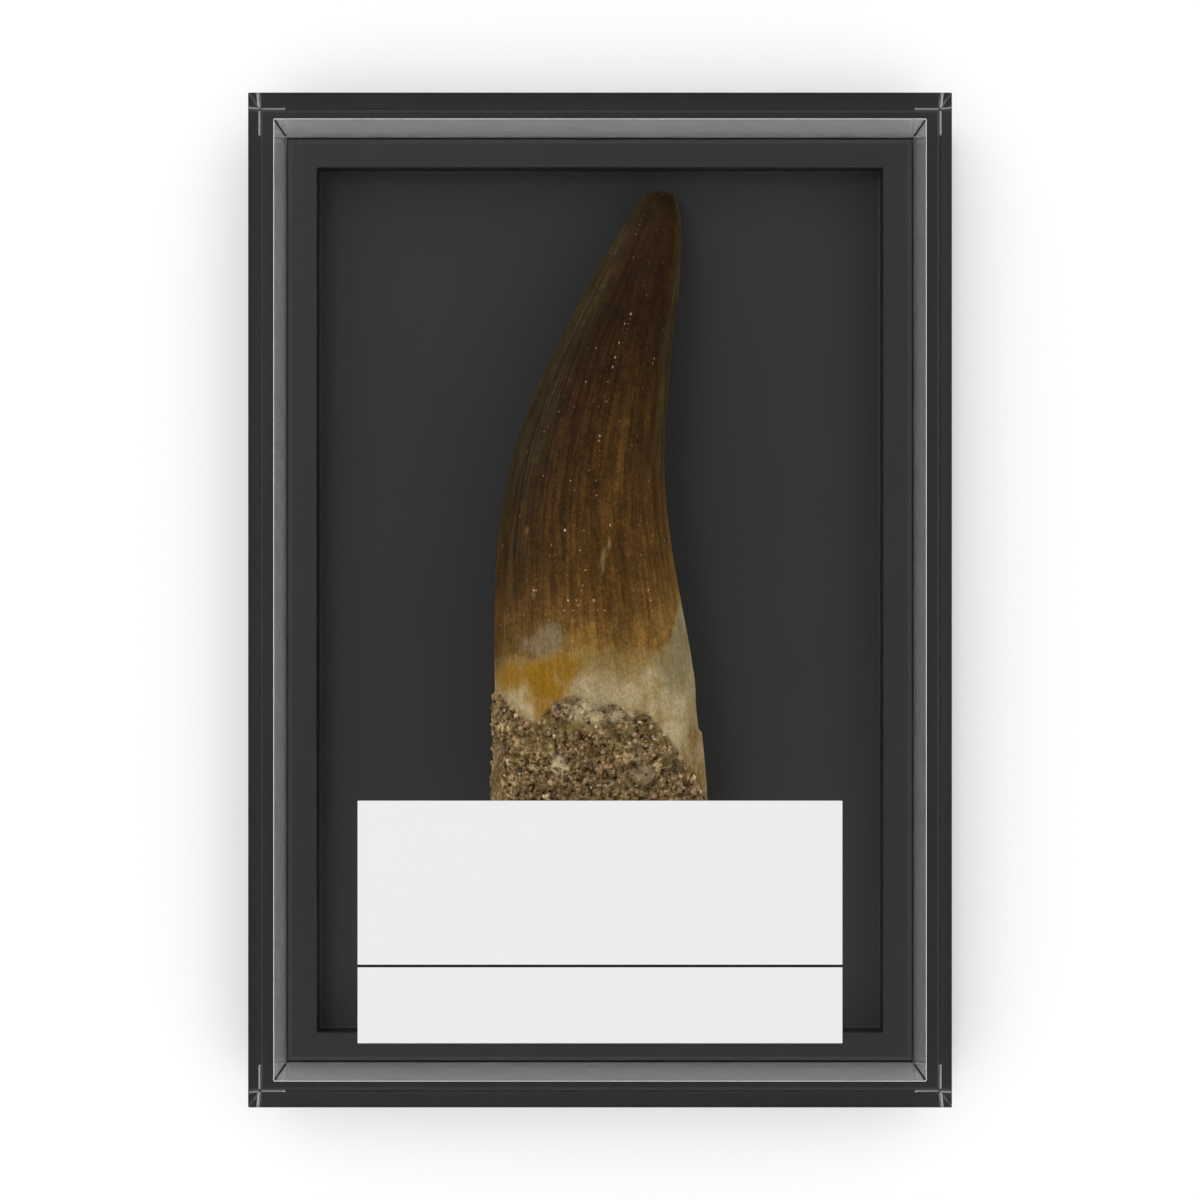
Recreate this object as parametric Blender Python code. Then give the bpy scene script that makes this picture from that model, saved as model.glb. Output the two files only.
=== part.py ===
"""Fossil plesiosaur tooth in a small two-part specimen case.

The case stands on its flat underside. +X is its width, +Y its length towards the tooth's tip and +Z is up,
with the origin under the middle of the case. A black base carries a clear cover, the tooth lies on its side
in the base's shallow recess, and a card label is stuck on top of the cover.
"""

import bisect
import math

import bmesh
import bpy
from mathutils import Vector, noise

MM = 0.001

# Driving dimensions of the case
COVER_WIDTH = 50.0 * MM
COVER_LENGTH = 72.1 * MM
BASE_OVERHANG = 0.12 * MM  # that the base stands out beyond the cover on every side
LEDGE_HEIGHT = 5.0 * MM  # underside to the ledge that carries the cover
COVER_HEIGHT = 13.6 * MM
COVER_WALL = 1.7 * MM
COVER_CORNER = 0.06 * MM  # radius of the cover's upright outer corners
TOP_BEVEL = 0.03 * MM  # round the cover's top
RIM_BEVEL = 0.05 * MM  # round the outside of the cover's rim
CEILING_BEVEL = 0.03 * MM  # between the cover's ceiling and its walls
PARTING_GAP = 0.15 * MM  # between the ledge and the cover's rim
PLATFORM_RISE = 1.2 * MM  # platform above the ledge
PLATFORM_CLEARANCE = 0.12 * MM  # platform to the cover's walls
PLATFORM_BEVEL = 0.3 * MM
LEDGE_BEVEL = 0.3 * MM
RECESS_WIDTH = 42.1 * MM
RECESS_LENGTH = 64.3 * MM
RECESS_DEPTH = 2.8 * MM
RECESS_CORNER = 0.4 * MM
RECESS_LIP = 0.12 * MM  # bevel round the top of the recess
RECESS_FILLET = 0.35 * MM  # round between the recess's wall and floor
BASE_EDGE = 0.25 * MM  # bevel round the underside
BASE_CORNER = 0.15 * MM  # radius of the base's upright corners
SHARP = 0.02 * MM  # radius of corners that look sharp
CORNER_STEPS = 4
FILLET_STEPS = 4

# Driving dimensions of the label
LABEL_WIDTH = 34.4 * MM
LABEL_LENGTH = 17.2 * MM
LABEL_THICKNESS = 0.2 * MM
LABEL_CENTRE_Y = -22.85 * MM
LABEL_GAP = 0.05 * MM

# Driving dimensions of the tooth. Each section, from the tip down, is its place along the tray, the places
# of its left and right edges, and its thickness, all in millimetres.
TOOTH_SECTIONS = (
    (30.4, 3.5, 5.4, 1.9),
    (30.1, 3.1, 5.6, 2.6),
    (29.6, 2.8, 5.8, 3.0),
    (28.3, 2.0, 6.0, 3.9),
    (26.0, 0.6, 6.05, 5.0),
    (22.2, -1.5, 5.75, 6.6),
    (18.4, -3.4, 5.3, 8.0),
    (14.7, -5.05, 5.0, 8.9),
    (11.0, -6.3, 4.75, 9.6),
    (7.3, -7.1, 4.85, 10.2),
    (3.6, -7.55, 5.3, 10.7),
    (-0.1, -7.75, 5.95, 11.1),
    (-3.7, -7.75, 6.6, 11.4),
    (-7.4, -7.7, 7.2, 11.6),
    (-11.0, -7.75, 7.6, 11.7),
    (-14.5, -7.8, 7.85, 11.7),
    (-17.5, -7.65, 7.75, 11.6),
    (-20.6, -7.2, 7.3, 11.2),
)
TOOTH_TIP = TOOTH_SECTIONS[0][0]
TOOTH_END = TOOTH_SECTIONS[-1][0]
TOOTH_ROUNDNESS = 2.12  # exponent of the section's outline: 2 is an ellipse
TOOTH_GAP = 0.1 * MM  # between the tooth and the recess's floor
TOOTH_ARCH = 0.35  # mm that the underside lifts between tip and base
END_SLANT = 0.10  # slope of the broken end across its width
END_SLANT_FROM = -14.0  # mm along the tray where the slope begins

# The crown's lengthwise ridges
RIDGE_COUNT = 40
RIDGE_HEIGHT = 0.005  # share of the crown's width there
RIDGES_FROM, RIDGES_TO = -3.0, 29.0  # mm along the tray
RIDGE_FADE = 2.0  # mm

# Upper limit of the adhering rock: degrees round the tooth from its right edge over the top, and the
# place along the tray in millimetres.
ROCK_EDGE = (
    (0, -14.6),
    (20, -13.6),
    (38, -11.5),
    (53, -9.6),
    (64, -8.2),
    (80, -7.6),
    (100, -7.0),
    (112, -7.4),
    (126, -8.8),
    (144, -7.6),
    (165, -6.7),
    (205, -7.1),
    (240, -8.2),
    (270, -9.5),
    (300, -11.2),
    (330, -13.2),
    (360, -14.6),
)
ROCK_LEDGE = 0.22  # mm that the rock stands proud of the root
ROCK_LEDGE_WIDTH = 0.5  # mm over which it rises
COARSE_LUMPS, FINE_LUMPS = (2.6, 0.38), (1.25, 0.26)  # width and height of the rock's lumps, mm
PIT_WIDTH, PIT_DEPTH = 1.6, 0.22  # mm
PIT_OFFSET = Vector((31.0, 7.0, 3.0))  # keeps the pits apart from the lumps
BEDDED = 0.65  # share of the rock's relief that is worn off where it lies on the tray

# The small shoulder on the root's right edge, where a flake has gone above it
SHOULDER_Y, SHOULDER_DEPTH, SHOULDER_SPREAD = -9.7, 0.22, 35.0  # mm, mm, degrees

# Mesh fineness of the tooth
COLUMNS = 2 * RIDGE_COUNT
CROWN_STEP, ROOT_STEP, ROCK_STEP = 2.1, 1.0, 0.6  # mm between rows
ROOT_FROM, ROCK_FROM = -3.0, -6.0  # mm along the tray
TIP_ROWS = ((30.4, 0.5), (30.4, 0.86), (30.3, 0.97), (30.0, 1.0), (29.5, 1.0), (28.7, 1.0))
END_ROWS = (
    (-19.7, 1.0),
    (-20.2, 0.97),
    (-20.45, 0.92),
    (-20.6, 0.82),
    (-20.5, 0.68),
    (-20.35, 0.54),
    (-20.25, 0.38),
    (-20.2, 0.2),
)


def clear_scene():
    """Remove every object from the scene."""
    for obj in list(bpy.data.objects):
        bpy.data.objects.remove(obj, do_unlink=True)


def make_material(name, colour, roughness, metallic=0.0, alpha=1.0):
    """A Principled material with plain values."""
    material = bpy.data.materials.new(name)
    material.use_nodes = True
    shader = material.node_tree.nodes["Principled BSDF"]
    shader.inputs["Base Color"].default_value = (*colour, 1.0)
    shader.inputs["Roughness"].default_value = roughness
    shader.inputs["Metallic"].default_value = metallic
    shader.inputs["Alpha"].default_value = alpha
    material.diffuse_color = (*colour, alpha)
    return material


def make_object(name, mesh_maker, material, location=(0.0, 0.0, 0.0), smooth_angle=None):
    """Turn a finished bmesh into a named object with one material."""
    mesh = bpy.data.meshes.new(name)
    mesh_maker.normal_update()
    mesh_maker.to_mesh(mesh)
    mesh_maker.free()
    mesh.materials.append(material)
    if smooth_angle is not None:
        mesh.shade_smooth()
        mesh.set_sharp_from_angle(angle=math.radians(smooth_angle))
    obj = bpy.data.objects.new(name, mesh)
    obj.location = location
    bpy.context.collection.objects.link(obj)
    return obj


def rounded_rectangle(width, length, radius):
    """Points of a rectangle with rounded corners, anticlockwise seen from above."""
    corners = ((1, 1, 0), (-1, 1, 90), (-1, -1, 180), (1, -1, 270))
    points = []
    for side_x, side_y, start in corners:
        centre_x = side_x * (width / 2 - radius)
        centre_y = side_y * (length / 2 - radius)
        for step in range(CORNER_STEPS + 1):
            angle = math.radians(start + 90 * step / CORNER_STEPS)
            points.append((centre_x + radius * math.cos(angle), centre_y + radius * math.sin(angle)))
    return points


def stack_of_rings(rings):
    """A closed body through rounded rectangles, each given as width, length, corner radius and height.

    The first and the last ring are closed by flat faces.
    """
    maker = bmesh.new()
    rows = []
    for width, length, radius, height in rings:
        outline = rounded_rectangle(width, length, radius)
        rows.append([maker.verts.new((x, y, height)) for x, y in outline])
    count = len(rows[0])
    for lower, upper in zip(rows, rows[1:]):
        for i in range(count):
            j = (i + 1) % count
            maker.faces.new((lower[i], lower[j], upper[j], upper[i]))
    maker.faces.new(list(reversed(rows[0])))
    maker.faces.new(rows[-1])
    bmesh.ops.recalc_face_normals(maker, faces=maker.faces)
    return maker


def inset_ring(width, length, radius, inset, height):
    """A ring drawn in by an inset on every side."""
    return (width - 2 * inset, length - 2 * inset, max(radius - inset, SHARP), height)


def build_base():
    """The black base: ledge, bevelled platform and recess, from the underside round to the recess's floor."""
    width = COVER_WIDTH + 2 * BASE_OVERHANG
    length = COVER_LENGTH + 2 * BASE_OVERHANG
    inner_width = COVER_WIDTH - 2 * (COVER_WALL + PLATFORM_CLEARANCE)
    inner_length = COVER_LENGTH - 2 * (COVER_WALL + PLATFORM_CLEARANCE)
    platform_top = LEDGE_HEIGHT + PLATFORM_RISE
    floor = platform_top - RECESS_DEPTH
    rings = [
        inset_ring(width, length, BASE_CORNER, BASE_EDGE, 0.0),
        (width, length, BASE_CORNER, BASE_EDGE),
        (width, length, BASE_CORNER, LEDGE_HEIGHT - LEDGE_BEVEL),
        inset_ring(width, length, BASE_CORNER, LEDGE_BEVEL, LEDGE_HEIGHT),
        (inner_width, inner_length, BASE_CORNER, LEDGE_HEIGHT),
        (inner_width, inner_length, BASE_CORNER, platform_top - PLATFORM_BEVEL),
        inset_ring(inner_width, inner_length, BASE_CORNER, PLATFORM_BEVEL, platform_top),
        inset_ring(RECESS_WIDTH, RECESS_LENGTH, RECESS_CORNER, -RECESS_LIP, platform_top),
        (RECESS_WIDTH, RECESS_LENGTH, RECESS_CORNER, platform_top - RECESS_LIP),
    ]
    for step in range(FILLET_STEPS + 1):
        angle = math.radians(90 * step / FILLET_STEPS)
        inset = RECESS_FILLET * (1 - math.cos(angle))
        height = floor + RECESS_FILLET * (1 - math.sin(angle))
        rings.append(inset_ring(RECESS_WIDTH, RECESS_LENGTH, RECESS_CORNER, inset, height))
    material = make_material("black_plastic", (0.030, 0.030, 0.031), 0.55)
    return make_object("case_base", stack_of_rings(rings), material, smooth_angle=35)


def build_cover():
    """The clear cover: an open-bottomed box, from its ceiling down the inside and up the outside."""
    inner_width = COVER_WIDTH - 2 * COVER_WALL
    inner_length = COVER_LENGTH - 2 * COVER_WALL
    rim = PARTING_GAP
    top = COVER_HEIGHT
    ceiling = top - COVER_WALL
    rings = [
        inset_ring(inner_width, inner_length, SHARP, CEILING_BEVEL, ceiling),
        (inner_width, inner_length, SHARP, ceiling - CEILING_BEVEL),
        (inner_width, inner_length, SHARP, rim),
        inset_ring(COVER_WIDTH, COVER_LENGTH, COVER_CORNER, RIM_BEVEL, rim),
        (COVER_WIDTH, COVER_LENGTH, COVER_CORNER, rim + RIM_BEVEL),
        (COVER_WIDTH, COVER_LENGTH, COVER_CORNER, top - TOP_BEVEL),
        inset_ring(COVER_WIDTH, COVER_LENGTH, COVER_CORNER, TOP_BEVEL, top),
    ]
    material = make_material("clear_plastic", (0.95, 0.96, 0.96), 0.04, alpha=0.2)
    location = (0.0, 0.0, LEDGE_HEIGHT)
    return make_object("case_cover", stack_of_rings(rings), material, location, smooth_angle=35)


def build_label():
    """The card label, a thin sheet with crisp corners on the cover's top."""
    rings = [
        (LABEL_WIDTH, LABEL_LENGTH, SHARP, 0.0),
        (LABEL_WIDTH, LABEL_LENGTH, SHARP, LABEL_THICKNESS),
    ]
    material = make_material("white_card", (0.84, 0.84, 0.84), 0.7)
    height = LEDGE_HEIGHT + COVER_HEIGHT + LABEL_GAP
    return make_object("label", stack_of_rings(rings), material, (0.0, LABEL_CENTRE_Y, height))


def smooth_between(stations, place):
    """Values at a place on a smooth curve through stations, which are tuples sorted by their first value."""
    places = [station[0] for station in stations]
    i = min(max(bisect.bisect_right(places, place) - 1, 0), len(stations) - 2)
    before, start = stations[max(i - 1, 0)], stations[i]
    end, after = stations[i + 1], stations[min(i + 2, len(stations) - 1)]
    span = end[0] - start[0]
    t = min(max((place - start[0]) / span, 0.0), 1.0)
    values = []
    for k in range(1, len(start)):
        slope_start = (end[k] - before[k]) / (end[0] - before[0]) * span
        slope_end = (after[k] - start[k]) / (after[0] - start[0]) * span
        values.append(
            (2 * t**3 - 3 * t**2 + 1) * start[k]
            + (t**3 - 2 * t**2 + t) * slope_start
            + (3 * t**2 - 2 * t**3) * end[k]
            + (t**3 - t**2) * slope_end
        )
    return values


def ramp(low, high, value):
    """0 below low, 1 above high and a smooth rise between them."""
    t = min(max((value - low) / (high - low), 0.0), 1.0)
    return t * t * (3 - 2 * t)


def tooth_rows():
    """Places of the tooth's rings along the tray with their shrinkage, from the tip to the broken end."""
    rows = list(TIP_ROWS)
    while rows[-1][0] > END_ROWS[0][0]:
        place = rows[-1][0]
        if place > ROOT_FROM:
            step = CROWN_STEP
        elif place > ROCK_FROM:
            step = ROOT_STEP
        else:
            step = ROCK_STEP
        rows.append((place - step, 1.0))
    rows[-1:] = END_ROWS
    return rows


def section_point(place, shrink, angle):
    """A point of the smooth tooth, in millimetres, with its underside on the arch of a lying tooth."""
    sections = TOOTH_SECTIONS[::-1]
    left, right, thickness = smooth_between(sections, min(max(place, TOOTH_END), TOOTH_TIP))
    half_width = (right - left) / 2 * shrink
    half_height = thickness / 2 * shrink
    along = (place - TOOTH_END) / (TOOTH_TIP - TOOTH_END)
    arch = TOOTH_ARCH * math.sin(math.pi * min(max(along, 0.0), 1.0))
    power = 2 / TOOTH_ROUNDNESS
    across = math.copysign(abs(math.cos(angle)) ** power, math.cos(angle))
    upward = math.copysign(abs(math.sin(angle)) ** power, math.sin(angle))
    slant = END_SLANT * half_width * across * (1 - ramp(TOOTH_END, END_SLANT_FROM, place))
    return Vector(
        ((left + right) / 2 + half_width * across, place + slant, arch + thickness / 2 + half_height * upward)
    )


def rock_share(point, angle):
    """0 on the bare tooth and 1 on the adhering rock."""
    edge = smooth_between(ROCK_EDGE, math.degrees(angle))[0]
    return ramp(-ROCK_LEDGE_WIDTH / 2, ROCK_LEDGE_WIDTH / 2, edge - point.y)


def tooth_relief(point, angle, column, shrink):
    """How far the real surface stands off the smooth tooth at a point, in millimetres."""
    lumps = COARSE_LUMPS[1] * noise.noise(point / COARSE_LUMPS[0])
    lumps += FINE_LUMPS[1] * noise.noise(point / FINE_LUMPS[0]) * ramp(0.6, 0.95, shrink)
    pits = -PIT_DEPTH * ramp(0.25, 0.6, noise.noise(point / PIT_WIDTH + PIT_OFFSET))
    rock = (ROCK_LEDGE + lumps + pits) * (1 - BEDDED * max(-math.sin(angle), 0.0))
    left, right, _ = smooth_between(TOOTH_SECTIONS[::-1], point.y)
    on_crown = ramp(RIDGES_FROM - RIDGE_FADE, RIDGES_FROM, point.y)
    on_crown *= 1 - ramp(RIDGES_TO - RIDGE_FADE, RIDGES_TO, point.y)
    ridges = RIDGE_HEIGHT * (right - left) * on_crown * (1 if column % 2 else -1)
    turn = min(math.degrees(angle), 360 - math.degrees(angle))
    flake = -SHOULDER_DEPTH * (1 - ramp(0, SHOULDER_SPREAD, turn))
    flake *= ramp(SHOULDER_Y, SHOULDER_Y + 0.3, point.y)
    flake *= 1 - ramp(SHOULDER_Y + 1.5, SHOULDER_Y + 4.5, point.y)
    on_rock = rock_share(point, angle)
    return on_rock * rock + (1 - on_rock) * (ridges + flake)


def build_tooth():
    """The curved tooth with its ridged crown, plain root and lumpy rock, lying on its side."""
    maker = bmesh.new()
    angles = [2 * math.pi * column / COLUMNS for column in range(COLUMNS)]
    rows = tooth_rows()
    rings = []
    for place, shrink in rows:
        rings.append([maker.verts.new(section_point(place, shrink, angle) * MM) for angle in angles])
    for upper, lower in zip(rings, rings[1:]):
        for i in range(COLUMNS):
            j = (i + 1) % COLUMNS
            maker.faces.new((upper[i], upper[j], lower[j], lower[i]))
    for ring, place in ((rings[0], TIP_ROWS[0][0]), (rings[-1], END_ROWS[-1][0])):
        middle = maker.verts.new(section_point(place, 0.0, 0.0) * MM)
        for i in range(COLUMNS):
            maker.faces.new((middle, ring[i], ring[(i + 1) % COLUMNS]))
    bmesh.ops.recalc_face_normals(maker, faces=maker.faces)
    maker.normal_update()
    reliefs = []
    for (_, shrink), ring in zip(rows, rings):
        for column, vert in enumerate(ring):
            reliefs.append((vert, tooth_relief(vert.co / MM, angles[column], column, shrink)))
    for vert, relief in reliefs:
        vert.co += vert.normal * relief * MM
    lowest = min(vert.co.z for vert in maker.verts)
    bmesh.ops.translate(maker, verts=maker.verts, vec=(0.0, 0.0, -lowest))
    material = make_material("fossil_enamel", (0.060, 0.028, 0.012), 0.4)
    floor = LEDGE_HEIGHT + PLATFORM_RISE - RECESS_DEPTH
    return make_object("tooth", maker, material, (0.0, 0.0, floor + TOOTH_GAP), smooth_angle=40)


def main():
    """Build the four pieces."""
    clear_scene()
    build_base()
    build_cover()
    build_tooth()
    build_label()


main()
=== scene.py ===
import logging
import math
from dataclasses import dataclass, field
from enum import Enum
from itertools import combinations
from typing import Any, Mapping, Sequence, Union

import bpy
import numpy as np
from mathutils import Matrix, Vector, noise


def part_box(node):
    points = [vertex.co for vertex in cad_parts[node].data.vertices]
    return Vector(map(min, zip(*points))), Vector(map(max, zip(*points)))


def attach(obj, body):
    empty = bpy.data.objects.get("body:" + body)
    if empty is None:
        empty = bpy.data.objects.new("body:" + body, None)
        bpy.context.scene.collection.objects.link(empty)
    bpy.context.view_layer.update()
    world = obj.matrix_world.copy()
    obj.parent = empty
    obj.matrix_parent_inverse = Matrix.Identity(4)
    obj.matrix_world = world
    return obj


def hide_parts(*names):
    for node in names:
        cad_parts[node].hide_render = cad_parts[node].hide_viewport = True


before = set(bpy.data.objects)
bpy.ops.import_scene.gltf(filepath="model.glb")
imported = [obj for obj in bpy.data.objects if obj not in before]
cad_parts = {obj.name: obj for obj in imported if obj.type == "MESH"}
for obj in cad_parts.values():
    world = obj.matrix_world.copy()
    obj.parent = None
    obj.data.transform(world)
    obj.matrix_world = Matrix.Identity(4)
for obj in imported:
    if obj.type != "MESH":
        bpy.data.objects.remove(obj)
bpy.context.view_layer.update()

log = logging.getLogger("fossil_tooth_case")

MM = 0.001
CLOUD_SPAN = (0.3, 0.7)  # most of a soft noise lies between these
Triple = tuple[float, float, float]
Colour = Triple  # linear red, green and blue
Stops = tuple[tuple[float, Colour], ...]
Ring = tuple[float, float, float, float]  # half width, half length, corner radius and height, in mm
Spot = tuple[float, float, float, float, float]  # centre and half sizes in mm, and strength


class Wire:
    """One output socket of a material's nodes, with arithmetic that adds the nodes it needs."""

    def __init__(self, recipe: "Recipe", socket: bpy.types.NodeSocket) -> None:
        """Wrap a socket.

        Args:
            recipe: the material that the socket belongs to.
            socket: the output socket.
        """
        self.recipe = recipe
        self.socket = socket

    @property
    def is_vector(self) -> bool:
        """Whether the socket carries a vector or a colour."""
        return self.socket.type in {"VECTOR", "RGBA"}

    def _combine(self, operation: str, first: "Feed", second: "Feed") -> "Wire":
        """Add a Math or Vector Math node.

        Args:
            operation: the node's operation.
            first: its first input.
            second: its second input.

        Returns:
            The node's result.
        """
        vector = any(isinstance(feed, Wire) and feed.is_vector for feed in (first, second))
        kind = "ShaderNodeVectorMath" if vector else "ShaderNodeMath"
        feeds = [first, second]
        if vector:
            feeds = [feed if isinstance(feed, Wire) else _as_vector(feed) for feed in feeds]
        return self.recipe.node(kind, {"operation": operation}, dict(enumerate(feeds)))

    def __add__(self, other: "Feed") -> "Wire":
        """The sum."""
        return self._combine("ADD", self, other)

    __radd__ = __add__

    def __sub__(self, other: "Feed") -> "Wire":
        """The difference."""
        return self._combine("SUBTRACT", self, other)

    def __rsub__(self, other: "Feed") -> "Wire":
        """The difference, the other way round."""
        return self._combine("SUBTRACT", other, self)

    def __mul__(self, other: "Feed") -> "Wire":
        """The product."""
        return self._combine("MULTIPLY", self, other)

    __rmul__ = __mul__

    def maximum(self, other: "Feed") -> "Wire":
        """The larger of two values."""
        return self._combine("MAXIMUM", self, other)

    def ramp(self, low: float, high: float, to_low: float = 0.0, to_high: float = 1.0) -> "Wire":
        """A smooth step.

        Args:
            low: the value at which the step begins.
            high: the value at which it ends.
            to_low: the result up to low.
            to_high: the result from high on.

        Returns:
            The stepped value.
        """
        inputs = {"Value": self, "From Min": low, "From Max": high, "To Min": to_low, "To Max": to_high}
        return self.recipe.node("ShaderNodeMapRange", {"interpolation_type": "SMOOTHSTEP"}, inputs)

    def blend(self, below: "Tint", above: "Tint") -> "Wire":
        """Mix two colours by this value.

        Args:
            below: the colour at 0.
            above: the colour at 1.

        Returns:
            The mixed colour.
        """
        settings = {"data_type": "RGBA", "clamp_factor": True}
        return self.recipe.node("ShaderNodeMix", settings, {"Factor": self, "A": below, "B": above})


Feed = Union[Wire, float, int, Sequence[float]]
Tint = Union[Wire, Colour]


def _as_vector(value: Any) -> Triple:
    """A number or a triple as a triple."""
    return (value, value, value) if isinstance(value, (int, float)) else tuple(value)


class Recipe:
    """The nodes of one material, or of the world."""

    def __init__(self, name: str, kind: str = "materials", shader: str = "Principled BSDF") -> None:
        """Start a material with its Principled shader, or a world with its background.

        Args:
            name: the material's name.
            kind: "materials" or "worlds".
            shader: the name of the shader that it starts with.
        """
        self.owner = getattr(bpy.data, kind).new(name)
        self.owner.use_nodes = True
        self.tree = self.owner.node_tree
        self.shader = self.tree.nodes[shader]

    def node(
        self,
        kind: str,
        settings: Mapping[str, Any] | None = None,
        inputs: Mapping[Union[str, int], Feed] | None = None,
        output: Union[str, int] = 0,
    ) -> Wire:
        """Add a node of any type.

        Args:
            kind: the node's type.
            settings: its properties, and "stops" for a ramp's (place, colour) pairs.
            inputs: values or wires by socket name or number.
            output: name of the output wanted, or 0 for the first one in use.

        Returns:
            The wanted output.
        """
        node = self.tree.nodes.new(kind)
        for name, value in (settings or {}).items():
            if name == "stops":
                self._set_stops(node.color_ramp, value)
            else:
                setattr(node, name, value)
        for key, value in (inputs or {}).items():
            self.feed(self._socket(node.inputs, key), value)
        return Wire(self, self._socket(node.outputs, output))

    @staticmethod
    def _set_stops(ramp: bpy.types.ColorRamp, stops: Stops) -> None:
        """Set a ramp's stops.

        Args:
            ramp: the ramp.
            stops: places and colours in rising order.
        """
        while len(ramp.elements) < len(stops):
            ramp.elements.new(1.0)
        for element, (place, colour) in zip(ramp.elements, stops):
            element.position = place
            element.color = (*colour, 1.0)

    @staticmethod
    def _socket(sockets: Any, key: Union[str, int]) -> bpy.types.NodeSocket:
        """The socket in use of that name or number."""
        used = [socket for socket in sockets if socket.enabled]
        return used[key] if isinstance(key, int) else next(s for s in used if s.name == key)

    def feed(self, socket: bpy.types.NodeSocket, value: Feed) -> None:
        """Link a wire to a socket, or set its value.

        Args:
            socket: the input socket.
            value: a wire, a number, a triple or a colour.
        """
        if isinstance(value, Wire):
            self.tree.links.new(value.socket, socket)
        elif socket.type == "RGBA":
            socket.default_value = (*value, 1.0)
        else:
            socket.default_value = value

    def set(self, **values: Feed) -> None:
        """Feed the Principled shader's sockets, named with underscores for spaces."""
        for name, value in values.items():
            self.feed(self.shader.inputs[name.replace("_", " ")], value)

    def attribute(self, name: str, vector: bool = False) -> Wire:
        """Read a mesh attribute.

        Args:
            name: the attribute's name.
            vector: whether it is a vector.

        Returns:
            Its value.
        """
        return self.node("ShaderNodeAttribute", {"attribute_name": name}, {}, "Vector" if vector else "Fac")

    def place(self) -> Wire:
        """Places on the object, in millimetres."""
        return self.node("ShaderNodeTexCoord", {}, {}, "Object") * (1 / MM)

    def cloud(self, where: Wire, scale: float, detail: float = 3.0, roughness: float = 0.5) -> Wire:
        """Soft noise.

        Args:
            where: the coordinates.
            scale: how many patches lie in one unit of them.
            detail: how many finer layers are added.
            roughness: how strong they are.

        Returns:
            The noise, about 0.5.
        """
        inputs = {"Vector": where, "Scale": scale, "Detail": detail, "Roughness": roughness}
        return self.node("ShaderNodeTexNoise", {}, inputs)

    def bump(self, height: Wire, distance: float, strength: float = 1.0) -> Wire:
        """A surface normal bent by a height.

        Args:
            height: the height, 0 to 1.
            distance: what a height of 1 stands for, in millimetres.
            strength: the share of it that shows.

        Returns:
            The bent normal.
        """
        inputs = {"Height": height, "Distance": distance * MM, "Strength": strength}
        return self.node("ShaderNodeBump", {}, inputs)


@dataclass(frozen=True)
class ClearPlastic:
    """Polished clear plastic, without the mirror image that a lens hood keeps off its top."""

    tint: Colour = (0.88, 0.89, 0.89)
    ior: float = 1.49
    roughness: float = 0.0
    facing_reflection: Colour = (0.0, 0.0, 0.0)
    murk: float = 18.0  # light lost in a metre
    slot: str = "clear_plastic"

    def make(self) -> bpy.types.Material:
        """Make the clear plastic.

        Returns:
            The finished material.
        """
        recipe = Recipe("clear_plastic")
        recipe.set(
            Base_Color=self.tint,
            Roughness=self.roughness,
            IOR=self.ior,
            Specular_Tint=self.facing_reflection,
            Transmission_Weight=1.0,
        )
        absorbing = {"Color": (0.0, 0.0, 0.0), "Density": self.murk}
        loss = recipe.node("ShaderNodeVolumeAbsorption", {}, absorbing, "Volume")
        recipe.tree.links.new(loss.socket, recipe.tree.nodes["Material Output"].inputs["Volume"])
        return recipe.owner


@dataclass(frozen=True)
class BlackPlastic:
    """Smooth black plastic with a satin gloss. Places are in mm from the middle, heights from the table."""

    raised: Colour = (0.0330, 0.0335, 0.0333)
    # Painted light: a lighter colour for the recess's floor, making up for the shade it lies in.
    recess_painted_light: Colour = (0.0415, 0.0420, 0.0416)
    recess_light_span: tuple[float, float] = (4.5, 5.5)
    # Painted shade: a darker colour for the recess's wall.
    wall: Colour = (0.0150, 0.0155, 0.0155)
    wall_shade_span: tuple[float, float] = (3.5, 6.1)
    wall_shade_within: tuple[float, float] = (22.0, 33.0)
    wall_shade_fade: float = 0.1
    patches: float = 0.12  # in a millimetre
    unevenness: tuple[float, float] = (0.99, 1.01)
    roughness: tuple[float, float] = (0.37, 0.38)
    gloss: float = 0.16
    slot: str = "black_plastic"

    def make(self) -> bpy.types.Material:
        """Make the black plastic, with painted light that sets the recess's floor a touch lighter and painted
        shade that darkens the recess's wall.

        Returns:
            The finished material.
        """
        recipe = Recipe("black_plastic")
        where = recipe.place()
        broad = recipe.cloud(where, self.patches, 1.0)
        across, along, height = (
            recipe.node("ShaderNodeSeparateXYZ", {}, {0: where}, axis) for axis in "XYZ"
        )
        # Painted light lightens the recess's floor below the rim.
        colour = height.ramp(*self.recess_light_span).blend(self.recess_painted_light, self.raised)
        # Painted shade on the recess's wall, in a band of height inside the recess.
        low, high = self.wall_shade_span
        fade = self.wall_shade_fade
        wall = height.ramp(low, low + fade) * height.ramp(high - fade, high, 1.0, 0.0)
        for place, limit in zip((across, along), self.wall_shade_within):
            wall = wall * place.ramp(limit, limit + fade, 1.0, 0.0) * place.ramp(-limit - fade, -limit)
        colour = wall.blend(colour, self.wall)
        recipe.set(
            Base_Color=colour * broad.ramp(*CLOUD_SPAN, *self.unevenness),
            Roughness=broad.ramp(*CLOUD_SPAN, *self.roughness),
            Specular_IOR_Level=self.gloss,
        )
        return recipe.owner


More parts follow.
